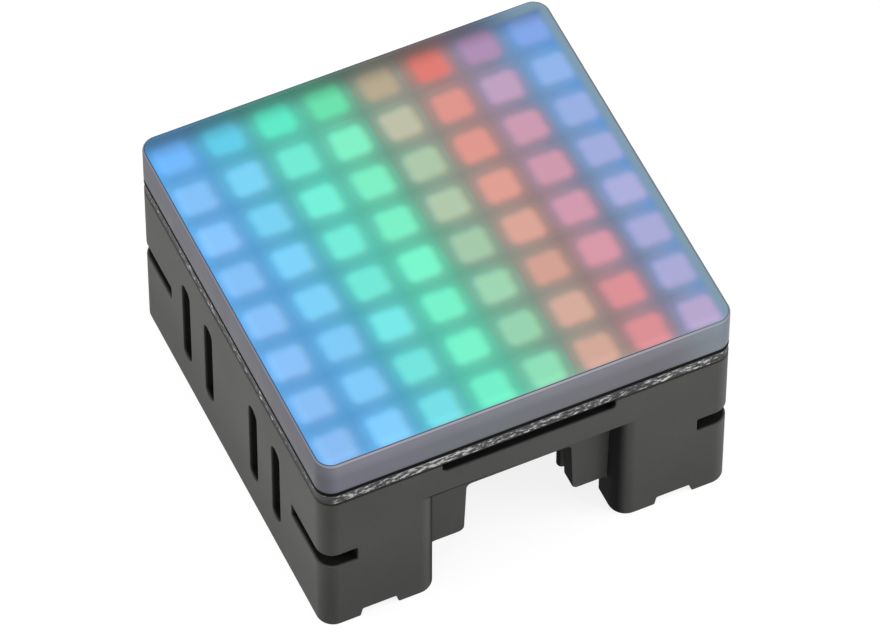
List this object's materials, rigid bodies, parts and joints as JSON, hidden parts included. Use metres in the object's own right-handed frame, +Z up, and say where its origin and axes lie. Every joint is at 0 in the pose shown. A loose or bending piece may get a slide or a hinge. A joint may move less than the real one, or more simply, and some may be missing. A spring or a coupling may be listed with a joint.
{
  "type": "rgb display module",
  "caption": "Square matrix of colour LEDs under a smoked diffuser cover, on a moulded grey base with slotted sides, cable cut-outs and corner clip channels.",
  "frame": {"origin": "centre of the square footprint, at the height of the base's lower edge, on which the module stands", "axes": "+Z up through the light-emitting face; the two walls with cable cut-outs face -Y and +Y, the two slotted walls face -X and +X"},
  "size_m": [0.04, 0.04, 0.024],
  "materials": {
    "base_plastic": "matte moulded, dark warm grey",
    "smoked_diffuser": "smoked translucent acrylic, satin sides, glossy top, lit from inside",
    "white_grid_plastic": "white moulded, matte",
    "black_foam": "black adhesive foam",
    "black_laminate": "black solder mask over glass fibre laminate, rough routed edge",
    "plated_steel": "zinc plated",
    "tinned_brass": "tinned, satin",
    "socket_plastic": "moulded nylon, cream",
    "can_aluminium": "satin drawn can"
  },
  "bodies": {
    "root": {"base_housing": "base_plastic", "diffuser_cover": "smoked_diffuser", "light_grid": "white_grid_plastic", "gasket_frame": "black_foam", "led_board": "black_laminate", "board_screw_1": "plated_steel", "board_screw_2": "plated_steel", "board_screw_3": "plated_steel", "board_screw_4": "plated_steel", "board_spacer_1": "tinned_brass", "board_spacer_2": "tinned_brass", "board_spacer_3": "tinned_brass", "board_spacer_4": "tinned_brass", "signal_in_socket": "socket_plastic", "signal_out_socket": "socket_plastic", "in_pin_1": "tinned_brass", "in_pin_2": "tinned_brass", "in_pin_3": "tinned_brass", "in_pin_4": "tinned_brass", "out_pin_1": "tinned_brass", "out_pin_2": "tinned_brass", "out_pin_3": "tinned_brass", "out_pin_4": "tinned_brass", "bulk_capacitor_1": "can_aluminium", "bulk_capacitor_2": "can_aluminium"}
  },
  "joints": []
}
